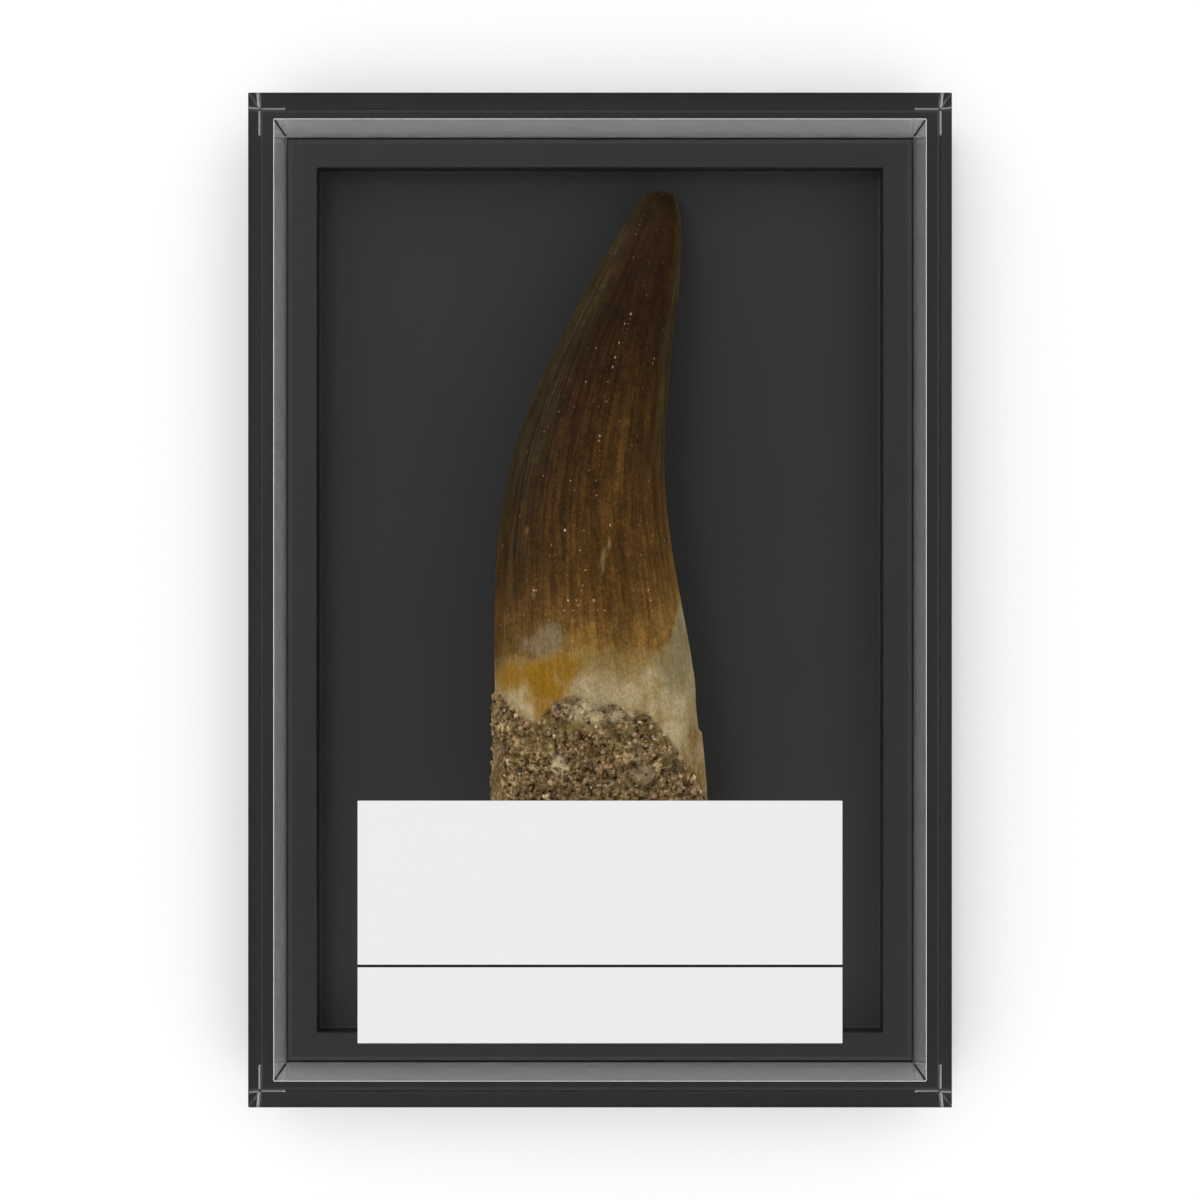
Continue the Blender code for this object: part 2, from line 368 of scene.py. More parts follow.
@dataclass(frozen=True)
class Card:
    """White card, with one thin printed rule across it."""

    white: Colour = (0.83, 0.83, 0.83)
    shade: float = 0.985
    fibres: float = 9.0  # in a millimetre
    fibre_stretch: Triple = (1.0, 2.5, 1.0)
    fibre_height: float = 0.006  # mm
    ink: Colour = (0.004, 0.004, 0.004)
    rule_y: float = -25.97  # mm along the tray
    rule_half: float = 0.098  # mm
    rule_fade: float = 0.1  # share of its half width
    roughness: tuple[float, float] = (0.62, 0.74)
    gloss: float = 0.25

    def make(self) -> bpy.types.Material:
        """Make the card.

        Returns:
            The finished material.
        """
        recipe = Recipe("white_card")
        where = recipe.place()
        fibres = recipe.cloud(where * self.fibre_stretch, self.fibres, 4.0, 0.6)
        along = recipe.node("ShaderNodeSeparateXYZ", {}, {0: where}, "Y")
        off_rule = recipe.node("ShaderNodeMath", {"operation": "ABSOLUTE"}, {0: along - self.rule_y})
        inside, outside = (self.rule_half * share for share in (1 - self.rule_fade, 1 + self.rule_fade))
        rule = off_rule.ramp(inside, outside, 1.0, 0.0)
        paper = fibres.ramp(*CLOUD_SPAN).blend(tuple(self.shade * c for c in self.white), self.white)
        recipe.set(
            Base_Color=rule.blend(paper, self.ink),
            Roughness=fibres.ramp(*CLOUD_SPAN, *self.roughness),
            Specular_IOR_Level=self.gloss,
            Normal=recipe.bump(fibres, self.fibre_height),
        )
        return recipe.owner


@dataclass(frozen=True)
class FossilSurface:
    """Brown striated enamel, pale stained root and sandy rock."""

    crown: Stops = (
        (0.0, (0.190, 0.103, 0.0210)),
        (0.08, (0.132, 0.0625, 0.0122)),
        (0.16, (0.087, 0.0388, 0.0070)),
        (0.32, (0.0532, 0.0234, 0.0046)),
        (0.50, (0.0335, 0.0137, 0.0024)),
        (0.72, (0.0197, 0.0075, 0.0012)),
        (0.88, (0.0254, 0.0107, 0.0023)),
        (0.96, (0.0197, 0.0086, 0.0018)),
    )
    gold: Colour = (0.240, 0.150, 0.036)
    amber: Colour = (0.067, 0.0318, 0.0054)
    # Painted sheen: an olive-grey veil laid on the enamel's flanks and round the tip.
    olive: Colour = (0.0405, 0.0290, 0.0118)
    root: Colour = (0.320, 0.222, 0.085)
    root_pale: Colour = (0.440, 0.345, 0.190)
    root_grey: Colour = (0.222, 0.175, 0.088)
    ochre: Colour = (0.275, 0.135, 0.008)
    grey: Colour = (0.235, 0.172, 0.100)
    stain: Colour = (0.190, 0.108, 0.026)
    chip: Colour = (0.250, 0.145, 0.060)
    rock_pit_shade: Colour = (0.032, 0.020, 0.007)
    rock_mid: Colour = (0.243, 0.164, 0.058)
    rock_red: Colour = (0.235, 0.133, 0.058)
    rock_pale: Colour = (0.640, 0.480, 0.250)
    rock_calm: Colour = (0.235, 0.161, 0.052)
    chalk: Colour = (0.640, 0.520, 0.300)
    lilac: Colour = (0.330, 0.225, 0.130)
    root_roughness: float = 0.62
    enamel_roughness: float = 0.42
    rock_roughness: float = 0.88
    roughness_spread: float = 0.16
    gloss: float = 0.07
    grain_height: float = 0.09  # mm

    def make(self) -> bpy.types.Material:
        """Make the tooth's surface, from the mesh's masks and its lengthwise coordinates.

        Returns:
            The finished material.
        """
        recipe = Recipe("fossil_surface")
        where = recipe.place()
        flow = recipe.attribute("flow", vector=True)
        streaks = recipe.cloud(flow, 20.0, 5.0, 0.62)
        bands = recipe.cloud(flow, 6.0, 2.0, 0.5)
        mottle = recipe.cloud(where, 2.2, 4.0, 0.6)
        soft = recipe.cloud(where, 0.5, 3.0, 0.5)
        skin = recipe.cloud(where * (1.0, 0.5, 1.0), 7.5, 3.0, 0.75)
        enamel = recipe.attribute("enamel")
        rock = recipe.attribute("rock")
        base = self._root(recipe, mottle, soft)
        base = enamel.blend(base, self._crown(recipe, streaks, bands, mottle, skin))
        patchy = (("gold", self.gold), ("blotch", self.grey), ("pale", self.root_pale), ("chip", self.chip))
        for name, tint in patchy:
            base = (recipe.attribute(name) * mottle.ramp(0.25, 0.62, 0.55, 1.0)).blend(base, tint)
        base = (recipe.attribute("ochre") * mottle.ramp(0.2, 0.5, 0.8, 1.0)).blend(base, self.ochre)
        base = base * streaks.ramp(*CLOUD_SPAN, 0.88, 1.13) * skin.ramp(0.32, 0.68, 0.80, 1.22)
        base = rock.blend(base, self._rock(recipe, where))
        rough = enamel.ramp(0.0, 1.0, self.root_roughness, self.enamel_roughness)
        rough = rough.maximum(rock * self.rock_roughness) + (mottle - 0.5) * self.roughness_spread
        height = streaks * 0.3 + skin * 0.7 + recipe.cloud(where, 3.0, 5.0, 0.7) * (rock * 2.2)
        recipe.set(
            Base_Color=base,
            Roughness=rough,
            Specular_IOR_Level=self.gloss,
            Normal=recipe.bump(height, self.grain_height),
        )
        return recipe.owner

    def _crown(self, recipe: Recipe, streaks: Wire, bands: Wire, mottle: Wire, skin: Wire) -> Wire:
        """Colour the enamel, from the warm neck to the dark tip, with a painted olive sheen on its flanks and
        painted light and shade over it.

        Args:
            recipe: the material.
            streaks: fine lengthwise noise.
            bands: broad lengthwise noise.
            mottle: soft noise.
            skin: fine noise.

        Returns:
            The enamel's colour.
        """
        rise = recipe.attribute("rise") + (bands - 0.5) * 0.30
        colour = recipe.node("ShaderNodeValToRGB", {"stops": self.crown}, {"Fac": rise}, "Color")
        colour = (recipe.attribute("amber") * bands.ramp(0.35, 0.6, 0.4, 1.0)).blend(colour, self.amber)
        # Painted sheen on the flanks.
        colour = (recipe.attribute("flank") * streaks.ramp(0.3, 0.65, 0.45, 1.0)).blend(colour, self.olive)
        strength = recipe.attribute("rise").ramp(0.0, 0.25, 0.45, 1.0)
        contrast = streaks.ramp(0.36, 0.64, 0.74, 1.27) * skin.ramp(0.36, 0.64, 0.88, 1.14)
        sharp = 1 + strength * (contrast - 1)
        cloudy = recipe.cloud(recipe.place() * (1.0, 0.45, 1.0), 0.9, 4.0, 0.6).ramp(0.35, 0.65, 0.80, 1.20)
        # Painted light and shade multiply the enamel's colour.
        return colour * sharp * cloudy * mottle.ramp(*CLOUD_SPAN, 0.82, 1.18) * recipe.attribute("lit")

    def _root(self, recipe: Recipe, mottle: Wire, soft: Wire) -> Wire:
        """Colour the root, greyer to the right and stained at its edge.

        Args:
            recipe: the material.
            mottle: soft noise.
            soft: broad noise.

        Returns:
            The root's colour.
        """
        colour = soft.ramp(0.35, 0.62).blend(self.root, self.root_pale)
        colour = recipe.attribute("greyish").blend(colour, self.root_grey)
        colour = (recipe.attribute("stain") * mottle.ramp(0.35, 0.6, 0.25, 1.0)).blend(colour, self.stain)
        return colour * mottle.ramp(0.25, 0.75, 0.86, 1.14)

    def _rock(self, recipe: Recipe, where: Wire) -> Wire:
        """Colour the rock: sandy, with painted shade in its pits, a chalky crust and a lilac pebble.

        Args:
            recipe: the material.
            where: places in millimetres.

        Returns:
            The rock's colour.
        """
        fine = recipe.cloud(where, 2.3, 5.0, 0.72)
        broad = recipe.cloud(where, 0.7, 3.0, 0.6)
        sand = recipe.cloud(where, 0.45, 3.0, 0.6).ramp(0.42, 0.58).blend(self.rock_mid, self.rock_red)
        calm = recipe.attribute("calm")
        # Painted shade: the rock's pits are coloured dark.
        colour = fine.ramp(0.40, 0.52).maximum(calm * 0.7).blend(self.rock_pit_shade, sand)
        colour = (fine.ramp(0.50, 0.64) * broad.ramp(0.35, 0.65, 0.35, 1.0)).blend(colour, self.rock_pale)
        colour = (calm * 0.6).blend(colour, self.rock_calm)
        colour = (recipe.attribute("chalk") * fine.ramp(0.32, 0.46)).blend(colour, self.chalk)
        colour = recipe.attribute("lilac").blend(colour, self.lilac)
        return colour * broad.ramp(0.35, 0.65, 0.66, 1.24)


@dataclass(frozen=True)
class GrainFinish:
    """Sand grains in tans, pinks and olive browns."""

    stops: Stops = (
        (0.0, (0.045, 0.030, 0.010)),
        (0.30, (0.140, 0.092, 0.034)),
        (0.58, (0.285, 0.180, 0.082)),
        (0.78, (0.460, 0.280, 0.155)),
        (0.93, (0.640, 0.480, 0.290)),
        (1.0, (0.700, 0.580, 0.400)),
    )
    roughness: tuple[float, float] = (0.55, 0.8)
    gloss: float = 0.4
    pit_height: float = 0.03  # mm

    def make(self) -> bpy.types.Material:
        """Make the grains' finish, with each grain's tone from the mesh.

        Returns:
            The finished material.
        """
        recipe = Recipe("sand_grains")
        where = recipe.place()
        fine = recipe.cloud(where, 7.0, 3.0, 0.6)
        tone = recipe.attribute("tone")
        colour = recipe.node("ShaderNodeValToRGB", {"stops": self.stops}, {"Fac": tone}, "Color")
        recipe.set(
            Base_Color=colour * fine.ramp(0.25, 0.75, 0.8, 1.2),
            Roughness=fine.ramp(*CLOUD_SPAN, *self.roughness),
            Specular_IOR_Level=self.gloss,
            Normal=recipe.bump(fine, self.pit_height, 0.8),
        )
        return recipe.owner


class SmoothCurve:
    """A smooth curve through stations, each a place and the values there."""

    def __init__(self, stations: Sequence[Sequence[float]]) -> None:
        """Keep the stations in rising order.

        Args:
            stations: rows of a place followed by values.
        """
        rows = np.array(sorted(stations), float)
        self.places, self.values = rows[:, 0], rows[:, 1:]

    def at(self, places: np.ndarray) -> np.ndarray:
        """Values at places.

        Args:
            places: any number of places, held to the curve's ends.

        Returns:
            One row of values for each place.
        """
        known, values = self.places, self.values
        last = len(known) - 1
        i = np.clip(np.searchsorted(known, places, side="right") - 1, 0, last - 1)
        before, after = np.maximum(i - 1, 0), np.minimum(i + 2, last)
        span = known[i + 1] - known[i]
        t = np.clip((places - known[i]) / span, 0.0, 1.0)[:, None]
        leave = (values[i + 1] - values[before]) * (span / (known[i + 1] - known[before]))[:, None]
        reach = (values[after] - values[i]) * (span / (known[after] - known[i]))[:, None]
        return (
            (2 * t**3 - 3 * t**2 + 1) * values[i]
            + (t**3 - 2 * t**2 + t) * leave
            + (3 * t**2 - 2 * t**3) * values[i + 1]
            + (t**3 - t**2) * reach
        )


def ramp(low: float, high: float, value: np.ndarray) -> np.ndarray:
    """0 below low, 1 above high and a smooth rise between them."""
    t = np.clip((value - low) / (high - low), 0.0, 1.0)
    return t * t * (3 - 2 * t)


def rough_field(points: np.ndarray, width: float, offset: Triple = (0.0, 0.0, 0.0)) -> np.ndarray:
    """Soft random heights, about -1 to 1, over points.

    Args:
        points: rows of coordinates.
        width: the size of a lump in the same unit.
        offset: moves the pattern.

    Returns:
        One height for each point.
    """
    shift = Vector(offset)
    return np.array([noise.noise(Vector(point) / width + shift) for point in points.tolist()])


@dataclass
class FossilTooth:
    """The curved tooth, lying on its side, with rock on its root. Sizes are in millimetres."""

    sections: tuple[tuple[float, float, float, float], ...] = (
        (30.4, 3.5, 5.4, 1.9),
        (30.1, 3.1, 5.6, 2.6),
        (29.6, 2.8, 5.8, 3.0),
        (28.3, 2.0, 6.0, 3.9),
        (26.0, 0.6, 6.05, 5.0),
        (22.2, -1.5, 5.75, 6.6),
        (18.4, -3.4, 5.3, 8.0),
        (14.7, -5.05, 5.0, 8.9),
        (11.0, -6.3, 4.75, 9.6),
        (7.3, -7.1, 4.85, 10.2),
        (3.6, -7.55, 5.3, 10.7),
        (-0.1, -7.75, 5.95, 11.1),
        (-3.7, -7.75, 6.6, 11.4),
        (-7.4, -7.7, 7.2, 11.6),
        (-11.0, -7.75, 7.6, 11.7),
        (-14.5, -7.8, 7.85, 11.7),
        (-17.5, -7.65, 7.75, 11.6),
        (-20.6, -7.2, 7.3, 11.2),
    )
    tip_profile: tuple[tuple[float, float, float], ...] = (
        (0, 30.4, 0.04),
        (1, 30.4, 0.5),
        (2, 30.42, 0.90),
        (3, 30.35, 0.985),
        (4, 30.0, 1.0),
        (5, 29.5, 1.0),
    )
    end_profile: tuple[tuple[float, float, float], ...] = (
        (0, -19.7, 1.0),
        (1, -20.2, 0.97),
        (2, -20.45, 0.92),
        (3, -20.6, 0.82),
        (4, -20.5, 0.68),
        (5, -20.35, 0.54),
        (6, -20.25, 0.38),
        (7, -20.2, 0.2),
        (8, -20.2, 0.03),
    )
    rock_edge: tuple[tuple[float, float], ...] = (
        (0, -14.6),
        (20, -13.6),
        (38, -11.5),
        (53, -9.6),
        (64, -8.2),
        (80, -7.6),
        (100, -7.0),
        (112, -7.4),
        (126, -8.8),
        (144, -7.6),
        (165, -6.7),
        (205, -7.1),
        (240, -8.2),
        (270, -9.5),
        (300, -11.2),
        (330, -13.2),
        (360, -14.6),
    )
    enamel_edge: tuple[tuple[float, float], ...] = (
        (0, 0.5),
        (16, 0.35),
        (28, -1.0),
        (37, -2.2),
        (47, -2.9),
        (57, -3.5),
        (70, -3.9),
        (85, -3.9),
        (108, -3.6),
        (136, -4.1),
        (164, -4.7),
        (200, -4.4),
        (250, -3.2),
        (300, -1.8),
        (335, -0.2),
        (360, 0.5),
    )
    stains: tuple[tuple[str, tuple[Spot, ...]], ...] = (
        ("gold", ((0.2, -4.4, 3.0, 1.0, 0.6), (-6.3, -5.2, 1.5, 1.0, 0.6), (4.2, -4.2, 1.4, 0.9, 0.5))),
        (
            "ochre",
            (
                (-6.2, -5.6, 1.7, 1.1, 0.85),
                (-4.3, -5.3, 2.1, 1.2, 1.0),
                (-2.6, -5.0, 1.3, 1.35, 0.95),
                (-3.9, -6.4, 1.8, 1.3, 1.0),
                (-4.1, -7.6, 0.9, 1.2, 0.9),
                (-4.25, -8.6, 0.5, 0.8, 0.7),
            ),
        ),
        ("pale", ((-5.75, -6.8, 0.9, 1.0, 0.9), (0.9, -6.9, 2.8, 1.2, 0.6))),
        ("blotch", ((-3.6, -2.8, 1.1, 1.15, 0.95), (-4.7, -3.3, 1.1, 0.75, 0.75))),
        ("greyish", ((5.6, -3.4, 1.7, 3.6, 0.85), (6.9, -8.0, 1.0, 4.0, 0.5))),
        ("stain", ((6.75, -10.1, 0.5, 1.5, 1.0), (6.9, -13.2, 1.3, 2.8, 0.9))),
        (
            "chip",
            (
                (0.66, 4.0, 0.16, 0.42, 1.0),
                (0.36, 3.35, 0.24, 0.30, 0.8),
                (0.18, 2.75, 0.15, 0.40, 1.0),
                (0.20, 2.2, 0.10, 0.30, 0.8),
                (-4.8, 0.4, 0.16, 0.36, 0.8),
                (-4.6, 7.0, 0.2, 0.16, 0.6),
                (-5.3, 5.0, 0.13, 0.36, 0.6),
            ),
        ),
        ("calm", ((-7.4, -13.5, 0.8, 3.0, 0.7), (-1.0, -9.0, 2.4, 0.6, 0.6), (-5.4, -10.6, 0.9, 1.1, 0.5))),
        ("chalk", ((-0.2, -8.0, 2.7, 0.9, 0.75), (1.9, -7.2, 1.9, 0.5, 1.0), (-2.9, -11.9, 0.5, 0.85, 1.0))),
        ("lilac", ((3.2, -12.6, 0.95, 0.8, 1.0),)),
    )
    roundness: float = 2.12
    arch: float = 0.35
    crown_length: float = 34.0
    end_slant: float = 0.10
    end_slant_from: float = -14.0
    ledge: float = 0.22  # rock above root
    ledge_width: float = 0.5
    coarse_lumps: tuple[float, float] = (2.6, 0.38)  # width and height, as in the next ones
    fine_lumps: tuple[float, float] = (1.25, 0.26)
    pits: tuple[float, float] = (1.6, 0.22)
    coarse_crumbs: tuple[float, float] = (0.72, 0.20)
    fine_crumbs: tuple[float, float] = (0.34, 0.11)
    crumb_pits: tuple[float, float] = (0.55, 0.30)
    lilac_height: float = 0.22
    calmed: float = 0.45  # share of the crumbs that calm rock lacks
    bedded: float = 0.65  # share of the relief that the underside lacks
    side_flattening: float = 0.45
    shoulder_y: float = -9.7
    shoulder_depth: float = 0.22
    shoulder_spread: float = 35.0  # degrees
    ridge_count: int = 84
    ridge_height: float = 0.026
    crown_waves: tuple[float, float] = (1.8, 0.02)
    crown_grain: tuple[float, float] = (0.42, 0.014)
    chip_place: tuple[float, float] = (0.62, 3.1)
    chip_half: tuple[float, float] = (0.3, 1.0)
    chip_depth: float = 0.26
    columns: int = 440
    tip_rings: int = 22
    end_rings: int = 56
    crown_step: float = 0.36
    rock_step: float = 0.15
    rock_from: float = -5.5
    points: np.ndarray = field(init=False)
    normals: np.ndarray = field(init=False)
    masks: dict[str, np.ndarray] = field(init=False)

    def build(self) -> bpy.types.Object:
        """Shape the tooth and dress it.

        Returns:
            The tooth's object.
        """
        place, shrink = self._rows()
        angle = np.linspace(0.0, 2 * math.pi, self.columns, endpoint=False) - math.pi / 2
        smooth, spread = self._smooth(place, shrink, angle)
        normals = self._grid_normals(smooth)
        flat = smooth.reshape(-1, 3)
        turn = np.degrees(np.tile(angle, len(place))) % 360
        self.masks = self._masks(flat, turn)
        relief = self._relief(flat, turn, np.repeat(shrink, self.columns), spread)
        points = flat + normals.reshape(-1, 3) * relief[:, None]
        points[:, 2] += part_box("tooth")[0].z / MM - points[:, 2].min()
        self.points = points.reshape(smooth.shape)
        self.normals = self._grid_normals(self.points)
        mesh = self._mesh()
        self._store(mesh, flat, turn)
        mesh.materials.append(FossilSurface().make())
        mesh.shade_smooth()
        tooth = bpy.data.objects.new("fossil_tooth", mesh)
        bpy.context.collection.objects.link(tooth)
        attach(tooth, "root")
        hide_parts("tooth")
        return tooth

    def _rows(self) -> tuple[np.ndarray, np.ndarray]:
        """Lay out the rings, from the tip to the broken end.

        Returns:
            The place of every ring along the tray, and how far it is drawn in.
        """
        tip, end = (
            [tuple(row) for row in SmoothCurve(profile).at(np.linspace(0, profile[-1][0], count))]
            for profile, count in ((self.tip_profile, self.tip_rings), (self.end_profile, self.end_rings))
        )
        rows = tip
        while rows[-1][0] > self.end_profile[0][1] + self.rock_step:
            step = self.crown_step if rows[-1][0] > self.rock_from else self.rock_step
            rows.append((rows[-1][0] - step, 1.0))
        place, shrink = np.array(rows + end).T
        return place, shrink

    def _smooth(
        self, place: np.ndarray, shrink: np.ndarray, angle: np.ndarray
    ) -> tuple[np.ndarray, np.ndarray]:
        """The tooth's smooth form.

        Args:
            place: where the rings lie along the tray.
            shrink: how far each is drawn in.
            angle: where their points lie round the tooth.

        Returns:
            The points, ring by ring, and the tooth's width at each point.
        """
        low, high = self.sections[-1][0], self.sections[0][0]
        left, right, thick = SmoothCurve(self.sections).at(np.clip(place, low, high)).T
        power = 2 / self.roundness
        across = np.sign(np.cos(angle)) * np.abs(np.cos(angle)) ** power
        upward = np.sign(np.sin(angle)) * np.abs(np.sin(angle)) ** power
        half = (right - left) / 2 * shrink
        along = np.clip((place - low) / (high - low), 0, 1)
        slant = self.end_slant * (1 - ramp(low, self.end_slant_from, place))
        points = np.empty((len(place), len(angle), 3))
        points[:, :, 0] = ((left + right) / 2)[:, None] + half[:, None] * across
        points[:, :, 1] = place[:, None] + (slant * half)[:, None] * across
        middle = self.arch * np.sin(math.pi * along) + thick / 2
        points[:, :, 2] = middle[:, None] + (thick / 2 * shrink)[:, None] * upward
        return points, np.repeat(right - left, len(angle))

    @staticmethod
    def _grid_normals(grid: np.ndarray) -> np.ndarray:
        """Find the outward unit normals of a ring-by-ring surface.

        Args:
            grid: its points, ring by ring.

        Returns:
            One normal for each point.
        """
        around = np.roll(grid, -1, axis=1) - np.roll(grid, 1, axis=1)
        normals = np.cross(around, np.gradient(grid, axis=0))
        length = np.linalg.norm(normals, axis=2, keepdims=True)
        return normals / np.maximum(length, 1e-9)

    def _masks(self, points: np.ndarray, turn: np.ndarray) -> dict[str, np.ndarray]:
        """Find where each part and each stain of the tooth's surface lies, and where the painted sheen and
        the painted light and shade fall.

        Args:
            points: the smooth surface.
            turn: degrees round the tooth at each point.

        Returns:
            One value for each point by the mask's name: 0 to 1, apart from the painted light and shade, a
            factor.
        """
        y = points[:, 1]
        across = np.cos(np.radians(turn))
        top = ramp(-0.2, 0.35, np.sin(np.radians(turn)))
        ragged = rough_field(points, 0.9, (5.0, 2.0, 8.0)) * 0.22
        ragged = ragged + rough_field(points, 0.35, (1.0, 9.0, 4.0)) * 0.12
        streaky = rough_field(points * (1.0, 0.25, 1.0), 0.45, (7.0, 7.0, 1.0))
        rock_line = SmoothCurve(self.rock_edge).at(turn)[:, 0]
        half_ledge = self.ledge_width / 2
        rise = y - SmoothCurve(self.enamel_edge).at(turn)[:, 0]
        edge_width = 1 - 0.78 * ramp(0.42, 0.66, across) * top
        warm = (turn - 68.0 + 0.25 * (y - 10)) / 15.0
        masks = {
            "rock": ramp(-half_ledge, half_ledge, rock_line - y + ragged * 0.8),
            "rock_form": ramp(-half_ledge, half_ledge, rock_line - y),
            "enamel": ramp(-1.5, 1.3, (rise + 0.6) / edge_width + streaky * 0.5 + ragged * 2.4),
            "rise": np.clip(rise / self.crown_length, 0, 1),
            "amber": np.exp(-warm**2) * ramp(0.0, 5.0, rise) * (1 - ramp(14.0, 24.0, rise)) * 0.75,
            "lit": self._painted_lighting(turn, rise),
            "flank": self._flank_sheen(turn, rise, y),
        }
        for name, spots in self.stains:
            masks[name] = self._stain(points, ragged, spots) * top
        smoother = 0.6 * ramp(0.15, 0.5, rough_field(points, 1.2, (6.0, 8.0, 2.0)))
        masks["calm"] = np.clip(masks["calm"] + smoother, 0, 0.8)
        return masks

    @staticmethod
    def _stain(points: np.ndarray, ragged: np.ndarray, spots: Sequence[Spot]) -> np.ndarray:
        """Spread soft-edged ovals over the surface.

        Args:
            points: the smooth surface.
            ragged: what roughens the ovals' edges.
            spots: the ovals.

        Returns:
            The stain's strength at each point.
        """
        total = np.zeros(len(points))
        for x, y, half_width, half_length, strength in spots:
            distance = np.hypot((points[:, 0] - x) / half_width, (points[:, 1] - y) / half_length)
            total = np.maximum(total, strength * (1 - ramp(0.45, 1.3, distance + ragged * 1.3)))
        return total

    @staticmethod
    def _painted_lighting(turn: np.ndarray, rise: np.ndarray) -> np.ndarray:
        """Find the painted light and shade on the enamel: painted shade low on the left and in a furrow,
        painted light high on the right.

        Args:
            turn: degrees round the tooth at each point.
            rise: millimetres above the enamel's edge.

        Returns:
            A factor for each point.
        """
        across = np.cos(np.radians(turn))
        # Painted shade low on the left and in a furrow, painted light high on the right.
        left = ramp(0.15, 0.55, -across) * (1 - ramp(16.0, 26.0, rise))
        furrow = np.exp(-(((turn - 116.0) / 26.0) ** 2)) * ramp(1.0, 4.0, rise) * (1 - ramp(10.0, 15.0, rise))
        right = ramp(0.70, 0.96, across) * ramp(18.0, 24.0, rise)
        return 1.12 - 0.27 * left - 0.17 * furrow + 0.45 * right

    @staticmethod
    def _flank_sheen(turn: np.ndarray, rise: np.ndarray, y: np.ndarray) -> np.ndarray:
        """Find where the painted olive sheen lies on the flanks: wide on the left and wider high up, narrow
        on the right, and round the tip.

        Args:
            turn: degrees round the tooth at each point.
            rise: millimetres above the enamel's edge.
            y: places along the tray.

        Returns:
            The painted sheen's strength at each point.
        """
        across = np.cos(np.radians(turn))
        left = ramp(0.42, 1.0, -across + 0.14 * ramp(8.0, 16.0, rise))
        sides = np.maximum(left, ramp(0.72, 0.96, across))
        sides = np.maximum(sides, 0.8 * ramp(29.95, 30.35, y))
        return sides * (0.35 + 0.65 * ramp(3.0, 16.0, rise)) * ramp(-1.0, 3.0, rise)

    def _relief(
        self, points: np.ndarray, turn: np.ndarray, shrink: np.ndarray, width: np.ndarray
    ) -> np.ndarray:
        """Find how far the real surface stands off the smooth tooth.

        Args:
            points: the smooth surface.
            turn: degrees round the tooth at each point.
            shrink: how far each point's ring is drawn in.
            width: the tooth's width there.

        Returns:
            The height of each point.
        """
        rock = self._rock_relief(points, turn, shrink)
        crown = self._crown_relief(points, turn, width)
        away = np.minimum(turn, 360 - turn)
        flake = -self.shoulder_depth * (1 - ramp(0, self.shoulder_spread, away))
        flake *= ramp(self.shoulder_y, self.shoulder_y + 0.3, points[:, 1])
        flake *= 1 - ramp(self.shoulder_y + 1.5, self.shoulder_y + 4.5, points[:, 1])
        share = self.masks["rock_form"]
        return share * rock + (1 - share) * (crown + flake)

    def _rock_relief(self, points: np.ndarray, turn: np.ndarray, shrink: np.ndarray) -> np.ndarray:
        """Find the rock's lumps, pits and crumbs, lower where it is bedded and on the sides.

        Args:
            points: the smooth surface.
            turn: degrees round the tooth at each point.
            shrink: how far each point's ring is drawn in.

        Returns:
            The height of each point.
        """
        (coarse, high), (fine, less_high) = self.coarse_lumps, self.fine_lumps
        lumps = high * rough_field(points, coarse)
        lumps += less_high * rough_field(points, fine) * ramp(0.6, 0.95, shrink)
        width, depth = self.pits
        lumps -= depth * ramp(0.25, 0.6, rough_field(points, width, (31.0, 7.0, 3.0)))
        (coarse, high), (fine, less_high) = self.coarse_crumbs, self.fine_crumbs
        crumbs = high * rough_field(points, coarse, (3.0, 1.0, 2.0)) + less_high * rough_field(points, fine)
        width, depth = self.crumb_pits
        crumbs -= depth * ramp(0.14, 0.40, rough_field(points, width, (11.0, 4.0, 6.0)))
        crumbs *= 1 - self.calmed * self.masks["calm"]
        crumbs += self.lilac_height * self.masks["lilac"]
        bedding = 1 - self.bedded * np.maximum(-np.sin(np.radians(turn)), 0)
        rock = (self.ledge + lumps) * bedding + crumbs
        rock *= 1 - self.side_flattening * ramp(0.6, 1.0, np.abs(np.cos(np.radians(turn))))
        return rock

    def _crown_relief(self, points: np.ndarray, turn: np.ndarray, width: np.ndarray) -> np.ndarray:
        """Find the crown's fine ridges, its gentle waves and the chip in its face.

        Args:
            points: the smooth surface.
            turn: degrees round the tooth at each point.
            width: the tooth's width there.

        Returns:
            The height of each point.
        """
        wobble = rough_field(points, 6.0, (2.0, 3.0, 5.0)) * 1.3
        ridge = (0.5 + 0.5 * np.cos(np.radians(turn) * self.ridge_count + wobble)) ** 1.5
        fade = 0.55 + 0.75 * rough_field(points, 2.4, (9.0, 1.0, 3.0))
        crown = self.ridge_height * ridge * np.clip(fade, 0.1, 1.0) * np.clip(width / 9.0, 0.25, 1.0)
        crown *= self.masks["enamel"] * (1 - ramp(28.0, 29.6, points[:, 1]))
        (broad, high), (fine, less_high) = self.crown_waves, self.crown_grain
        crown += high * rough_field(points, broad, (4.0, 4.0, 4.0)) + less_high * rough_field(points, fine)
        across, along = ((points[:, i] - self.chip_place[i]) / self.chip_half[i] for i in (0, 1))
        chip = np.hypot(across, along)
        crown -= self.chip_depth * (1 - ramp(0.4, 1.2, chip)) * (np.sin(np.radians(turn)) > 0)
        return crown

